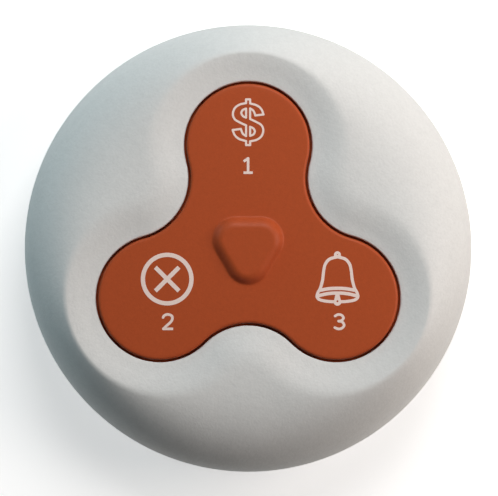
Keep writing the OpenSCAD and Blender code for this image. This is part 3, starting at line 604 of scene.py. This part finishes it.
# The dollar sign: one outline round the letter and its bar, and two small outlines inside. It looks the same
# after half a turn, so only half of it is given. All marks are in millimetres from their own middle.
sign_w, half_bar = 0.38, 0.36
half_sign = (
    [(half_bar, 3.34), (half_bar, 4.06), (-half_bar, 4.06)]
    + curve_through([(-half_bar, 3.40), (-1.50, 3.13), (-2.36, 2.50), (-2.70, 1.45), (-2.36, 0.52),
                     (-1.42, -0.06), (-half_bar, -0.56)])
    + curve_through([(-half_bar, -2.46), (-0.95, -2.02), (-1.28, -1.20)])
    + curve_through([(-2.74, -1.38), (-2.36, -2.30), (-1.58, -2.98), (-half_bar, -3.34)])[:-1]
)
half_counter = [(-half_bar, 2.42)] + curve_through(
    [(-half_bar, 0.82), (-0.90, 1.08), (-1.20, 1.62), (-0.95, 2.16), (-half_bar, 2.42)])[:-1]
print_mark("mark_dollar", [
    *stroke(half_sign + half_turned(half_sign), sign_w, closed=True),
    *stroke(half_counter, sign_w, closed=True),
    *stroke(half_turned(half_counter), sign_w, closed=True),
], "bill_key", (0, 22.2))

# The cross in a ring
ring_r, ring_w, arm, arm_w = 4.31, 0.76, 2.1, 0.76
print_mark("mark_cross", [
    *stroke(arc((0, 0), ring_r, 0, 360, 72)[:-1], ring_w, closed=True),
    *stroke([(-arm, -arm), (arm, arm)], arm_w),
    *stroke([(-arm, arm), (arm, -arm)], arm_w),
], "cancel_key", (-14.37, -5.68))

# The hand bell: its outline, two bands above the mouth, the clapper with a small bare eye, and the knob
bell_w, band_w = 0.54, 0.60
half_bell = curve_through([
    (0, 3.88), (-1.35, 3.52), (-2.12, 2.66), (-2.42, 1.58), (-2.64, -0.20), (-3.02, -1.62),
    (-3.46, -2.44), (-3.62, -3.20), (-3.10, -3.74), (-1.70, -4.02), (0, -4.10)])
clapper_r, eye_r, knob_r, knob_eye_r = 0.68, 0.17, 0.62, 0.09
eye = arc((0, -4.0), eye_r, 0, 360, 16)[:-1]
knob_eye = arc((0, 4.3), knob_eye_r, 0, 360, 12)[:-1]
print_mark("mark_bell", [
    *stroke(mirrored(half_bell), bell_w, closed=True),
    *stroke(curve_through([(-3.1, -2.06), (-1.6, -1.78), (0, -1.70), (1.6, -1.78), (3.1, -2.06)]), band_w),
    *stroke(curve_through([(-3.4, -3.02), (-1.7, -2.64), (0, -2.54), (1.7, -2.64), (3.4, -3.02)]), band_w),
    [(-0.34, -2.7), (-0.62, -3.9), (0.62, -3.9), (0.34, -2.7)],
    arc((0, -4.12), clapper_r, 0, 360, 32)[:-1],
    arc((0, 4.26), knob_r, 0, 360, 32)[:-1],
    [(0.95, 3.62), (0.55, 3.95), (-0.55, 3.95), (-0.95, 3.62)],
], "call_key", (15.87, -5.62), bare=[eye, knob_eye])

# A plain digit below each mark
digit_w = 0.46
print_mark("digit_1", [
    *stroke([(-0.78, 0.72), (0, 1.27), (0, -1.27)], digit_w),
    *stroke([(-0.82, -1.27), (0.82, -1.27)], digit_w),
], "bill_key", (0, 14.5))
print_mark("digit_2", stroke(
    curve_through([(-0.86, 0.72), (-0.58, 1.14), (0, 1.29), (0.66, 1.06), (0.80, 0.52), (0.50, -0.06),
                   (-0.24, -0.72), (-0.80, -1.27)]) + [(0.94, -1.27)],
    digit_w), "cancel_key", (-14.25, -13.25))
upper_bow = [(-0.84, 0.98), (-0.30, 1.27), (0.36, 1.16), (0.68, 0.68), (0.36, 0.22), (-0.24, 0.10)]
lower_bow = [(-0.24, 0.10), (0.44, -0.02), (0.80, -0.58), (0.46, -1.12), (-0.22, -1.28), (-0.90, -1.02)]
print_mark("digit_3", [
    *stroke(curve_through(upper_bow), digit_w),
    *stroke(curve_through(lower_bow), digit_w),
], "call_key", (16.25, -13.25))


# ---------------------------------------------------------------- Base and battery lid
# The lower half of the case and its twist-off battery lid: the same grained ABS, a shade darker, moulded with
# the bayonet track, the lock marks and the screw recesses. Three screws from below hold it to the upper shell.

base_finish = finish_from(
    "grained_base_abs", mould_grain, {"IOR": 1.5, "Specular IOR Level": 0.4},
    Colour=(0.66, 0.665, 0.65, 1), Grain=2300.0, Depth=0.00003, Pit_tone=0.04, Drift=0.05, Roughness=0.55)
dress(nodes["base_shell"], base_finish)
dress(nodes["battery_lid"], base_finish)


# ---------------------------------------------------------------- Rubber parts
# Feet and seals are black nitrile rubber, matt and faintly dusty. The pills under the keys are silicone filled
# with carbon, which closes the pads on the board.

rubber_finish = finish_from(
    "black_rubber", mould_grain, {"IOR": 1.5, "Specular IOR Level": 0.35},
    Colour=(0.028, 0.028, 0.03, 1), Grain=1500.0, Depth=0.00002, Pit_tone=0.2, Drift=0.5, Roughness=0.68)
for name in ("rubber_feet", "seam_gasket", "lid_seal"):
    dress(nodes[name], rubber_finish)
pill_finish = finish_from(
    "carbon_pill", mould_grain, {"IOR": 1.6},
    Colour=(0.018, 0.018, 0.02, 1), Grain=5200.0, Depth=0.000008, Pit_tone=0.3, Drift=0.3, Roughness=0.5)
for name in ("bill_pill", "cancel_pill", "call_pill"):
    dress(nodes[name], pill_finish)


# ---------------------------------------------------------------- Dome mat
# A black rubber sheet on the board with a dome under each key. The dome's thin cone buckles when the key comes
# down on its platform, so each dome is a piece of its own, running from the sheet up to the key's platform.

mat_t, web_t, dome_r, platform_r = 0.8 * mm, 0.45 * mm, 4.6 * mm, 2.6 * mm
mat_o = -3.6 * mm
mat_hole_r = dome_r - web_t
mat_low, mat_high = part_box("dome_mat")
mat_top = mat_low.z + mat_t
mat_outline = [(edge_r(a, mat_o) / mm * math.cos(a), edge_r(a, mat_o) / mm * math.sin(a))
               for a in (k * turn / sectors for k in range(sectors))]
dome_holes = [arc((lobe_d / mm * math.cos(a), lobe_d / mm * math.sin(a)), mat_hole_r / mm, 0, 360, 64)[:-1]
              for a in (bill_a, cancel_a, call_a)]
sheet = flat_piece("dome_mat_sheet", [mat_outline], (0, 0), mat_low.z, mat_t, dome_holes)
dress(sheet, rubber_finish)
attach(sheet, "housing")
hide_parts("dome_mat")
for key, a in (("bill", bill_a), ("cancel", cancel_a), ("call", call_a)):
    platform_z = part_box(f"{key}_pill")[1].z
    shoulder_r = platform_r + web_t / 2
    start_ring(f"dome_{key}", lambda a: (mat_hole_r, mat_top - web_t / 2))
    pull_rings([lambda a: (dome_r, mat_top - web_t / 4), lambda a: (dome_r, mat_top)])
    pull_rings([lambda a, s=k / 6: (mix(dome_r, shoulder_r, s), mix(mat_top, platform_z + web_t, s))
                for k in range(1, 7)])
    pull_rings([lambda a: (shoulder_r, mat_high.z)])
    bpy.ops.mesh.edge_face_add()
    bpy.ops.object.mode_set(mode="OBJECT")
    bpy.ops.object.mode_set(mode="EDIT")
    bpy.ops.mesh.select_all(action="DESELECT")
    bpy.ops.mesh.select_non_manifold()
    pull_rings([lambda a, s=k / 6: (mix(mat_hole_r, platform_r, s), mix(mat_top - web_t / 2, platform_z, s))
                for k in range(1, 7)])
    bpy.ops.mesh.edge_face_add()
    dome = close_up(smooth_angle=40)
    dome.location = (lobe_d * math.cos(a), lobe_d * math.sin(a), 0)
    bpy.ops.object.transform_apply(location=True, rotation=True, scale=True)
    dress(dome, rubber_finish)
    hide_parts("dome_mat")
    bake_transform(dome)


# ---------------------------------------------------------------- Keys and guide frame
# Rigid plates with plungers and guide pins, and the frame with their bores: natural acetal, which slides dry.

acetal_finish = finish_from(
    "natural_acetal", mould_grain, {"IOR": 1.48, "Subsurface Weight": 0.05, "Subsurface Scale": 0.001},
    Colour=(0.72, 0.71, 0.66, 1), Grain=900.0, Depth=0.000006, Pit_tone=0.02, Drift=0.06, Roughness=0.35)
for name in ("bill_key", "cancel_key", "call_key", "guide_frame"):
    dress(nodes[name], acetal_finish)


# ---------------------------------------------------------------- Metal parts
# Zinc-plated screws, nickel-plated contacts, cell and crystal can, and gold on the pads and the aerial's wire.
# Turned and rolled metal has fine scratches that run every way, and a plating that isn't quite even.

metal_group, given, place = new_group("worn_plate", [
    ("Colour", "Color", (0.6, 0.6, 0.6, 1)), ("Scratches", "Float", 900.0), ("Depth", "Float", 0.000004),
    ("Cloud", "Float", 0.12), ("Roughness", "Float", 0.3)])
long_way = node(metal_group, "Mapping", Vector=place, Scale=(1.0, 9.0, 3.0), Rotation=(0.2, 0.1, 0.6))
cross_way = node(metal_group, "Mapping", Vector=place, Scale=(8.0, 1.0, 2.0), Rotation=(0.1, 0.3, 0.2))
lines = node(metal_group, "TexNoise", Vector=long_way.outputs[0], Scale=given["Scratches"], Detail=3.0)
crossing = node(metal_group, "TexNoise", Vector=cross_way.outputs[0], Scale=given["Scratches"], Detail=3.0)
both = node(metal_group, "Math", operation="MAXIMUM", in0=lines.outputs[0], in1=crossing.outputs[0])
cloud = node(metal_group, "TexNoise", Vector=place, Scale=220.0, Detail=2.0)
lean = node(metal_group, "Math", operation="SUBTRACT", in0=cloud.outputs[0], in1=0.5)
level = node(metal_group, "Math", operation="MULTIPLY_ADD", in0=lean.outputs[0], in1=given["Cloud"], in2=1.0)
colour = node(metal_group, "VectorMath", operation="SCALE", in0=given["Colour"], Scale=level.outputs[0])
rough = node(metal_group, "Math", operation="MULTIPLY_ADD", in0=both.outputs[0], in1=0.25,
             in2=given["Roughness"])
bump = node(metal_group, "Bump", Distance=given["Depth"], Height=both.outputs[0])
put_out(metal_group, colour.outputs[0], rough.outputs[0], bump.outputs[0])
zinc_finish = finish_from(
    "zinc_plate", metal_group, {"Metallic": 1.0}, Colour=(0.55, 0.56, 0.57, 1), Cloud=0.25, Roughness=0.28)
nickel_finish = finish_from(
    "nickel_plate", metal_group, {"Metallic": 1.0},
    Colour=(0.64, 0.63, 0.61, 1), Scratches=700.0, Roughness=0.18)
gold_finish = finish_from(
    "gold_plate", metal_group, {"Metallic": 1.0}, Colour=(0.78, 0.54, 0.20, 1), Scratches=1200.0, Roughness=0.2)
for name in ("frame_screws", "board_screws", "case_screws"):
    dress(nodes[name], zinc_finish)
for name in ("coin_cell", "minus_contact", "plus_contact", "crystal"):
    dress(nodes[name], nickel_finish)
for name in ("contact_pads", "antenna_coil"):
    dress(nodes[name], gold_finish)


# ---------------------------------------------------------------- Board and chip
# A round glass-epoxy board under green solder mask, whose weave shows faintly through it. The chip and the
# small parts round it are cast in black resin and soldered on.

board_group, given, place = new_group("masked_laminate", [
    ("Colour", "Color", (0.02, 0.12, 0.05, 1)), ("Copper", "Color", (0.04, 0.22, 0.09, 1)),
    ("Roughness", "Float", 0.3)])
weave = node(board_group, "TexBrick", Vector=place, Scale=700.0, Mortar_Size=0.08).outputs["Fac"]
tracks = node(board_group, "TexVoronoi", feature="DISTANCE_TO_EDGE", distance="EUCLIDEAN", Vector=place,
              Scale=240.0)
copper = node(board_group, "MapRange", Value=tracks.outputs[0], From_Min=0.10, From_Max=0.14, To_Min=1.0,
              To_Max=0.0)
colour = node(board_group, "Mix", data_type="RGBA", in0=copper.outputs[0], in6=given["Colour"],
              in7=given["Copper"])
height = node(board_group, "Math", operation="MULTIPLY_ADD", in0=weave, in1=-0.15, in2=copper.outputs[0])
rough = node(board_group, "Math", operation="MULTIPLY_ADD", in0=weave, in1=0.12, in2=given["Roughness"])
bump = node(board_group, "Bump", Distance=0.00002, Height=height.outputs[0])
put_out(board_group, colour.outputs[2], rough.outputs[0], bump.outputs[0])
board_finish = finish_from(
    "green_solder_mask", board_group, {"Coat Weight": 0.4, "Coat Roughness": 0.15}, Roughness=0.3)
dress(nodes["circuit_board"], board_finish)
resin_finish = finish_from(
    "cast_resin", mould_grain, {"IOR": 1.55},
    Colour=(0.03, 0.03, 0.032, 1), Grain=6000.0, Depth=0.000006, Pit_tone=0.2, Drift=0.2, Roughness=0.45)
for name in ("radio_chip", "chip_parts"):
    dress(nodes[name], resin_finish)


# ---------------------------------------------------------------- Floor, light and camera
# A plain pale table and soft studio light: two lamps from the right and the top of the picture, a cool fill on
# the left and a faint warm one from below. The camera looks straight down from far off, as in the photograph.

photo_px = 498
silhouette_px = 446.8
centre_off_px = (-0.9, 0.3)
camera_z, camera_tilt = 1.2, math.radians(1.25)
px = 2 * body_r / silhouette_px
table_w, table_glow = 6.0, 0.55
sky_light, sky_seen = 0.02, 1.0


def seen_ray(tree):
    """1 where a place is seen, straight, mirrored or through glass, and 0 for the light that it gives."""
    rays = tree.nodes.new("ShaderNodeLightPath").outputs
    seen = node(tree, "Math", operation="MAXIMUM", in0=rays["Is Camera Ray"], in1=rays["Is Glossy Ray"])
    clear = node(tree, "Math", operation="MAXIMUM", in0=seen.outputs[0], in1=rays["Is Transmission Ray"])
    return clear.outputs[0]


bpy.ops.object.select_all(action="DESELECT")
bpy.ops.mesh.primitive_plane_add(size=table_w, location=(0, 0, cad_low[2]))
floor = bpy.context.object
floor.name = "table"
floor_finish = bpy.data.materials.new("pale_table")
floor_finish.use_nodes = True
tree = floor_finish.node_tree
surface = tree.nodes["Principled BSDF"]
surface.inputs["Base Color"].default_value = (0.86, 0.86, 0.85, 1)
surface.inputs["Roughness"].default_value = 0.7
surface.inputs["Emission Color"].default_value = (1, 1, 1, 1)
glow = node(tree, "Math", operation="MULTIPLY", in0=seen_ray(tree), in1=table_glow)
tree.links.new(glow.outputs[0], surface.inputs["Emission Strength"])
dress(floor, floor_finish)

world = bpy.data.worlds.new("studio")
bpy.context.scene.world = world
world.use_nodes = True
tree = world.node_tree
back = tree.nodes["Background"]
back.inputs["Color"].default_value = (0.93, 0.96, 1.0, 1)
strength = node(tree, "MapRange", Value=seen_ray(tree), To_Min=sky_light, To_Max=sky_seen)
tree.links.new(strength.outputs[0], back.inputs["Strength"])


def soft_lamp(name, azimuth, elevation, distance, size, watts, colour):
    """A square lamp that points at the object. Its direction is in degrees, its distance and size in metres."""
    bpy.ops.object.select_all(action="DESELECT")
    bpy.ops.object.light_add(type="AREA")
    lamp = bpy.context.object
    lamp.name = name
    lamp.data.size = size
    lamp.data.energy = watts
    lamp.data.color = colour
    az, el = math.radians(azimuth), math.radians(elevation)
    way = (math.cos(el) * math.cos(az), math.cos(el) * math.sin(az), math.sin(el))
    lamp.location = tuple(distance * w for w in way)
    lamp.rotation_euler = (math.pi / 2 - el, 0, az + math.pi / 2)


soft_lamp("key_right", 5, 34, 0.35, 0.2, 0.60, (1.0, 0.90, 0.84))
soft_lamp("key_top", 80, 48, 0.35, 0.2, 0.69, (1.0, 1.0, 1.0))
soft_lamp("fill_left", 150, 12, 0.9, 0.45, 1.35, (0.35, 0.85, 1.0))
soft_lamp("fill_below", 330, 12, 0.9, 0.45, 0.2, (1.0, 0.6, 0.35))

camera_place = (
    -centre_off_px[0] * px,
    centre_off_px[1] * px - camera_z * math.sin(camera_tilt),
    waist_z + camera_z * math.cos(camera_tilt))
bpy.ops.object.camera_add(location=camera_place, rotation=(camera_tilt, 0, 0))
camera = bpy.context.object
camera.data.sensor_width = 36.0
camera.data.lens = camera.data.sensor_width * camera_z / (photo_px * px)
camera.data.clip_start, camera.data.clip_end = 0.01, 20
bpy.context.scene.camera = camera
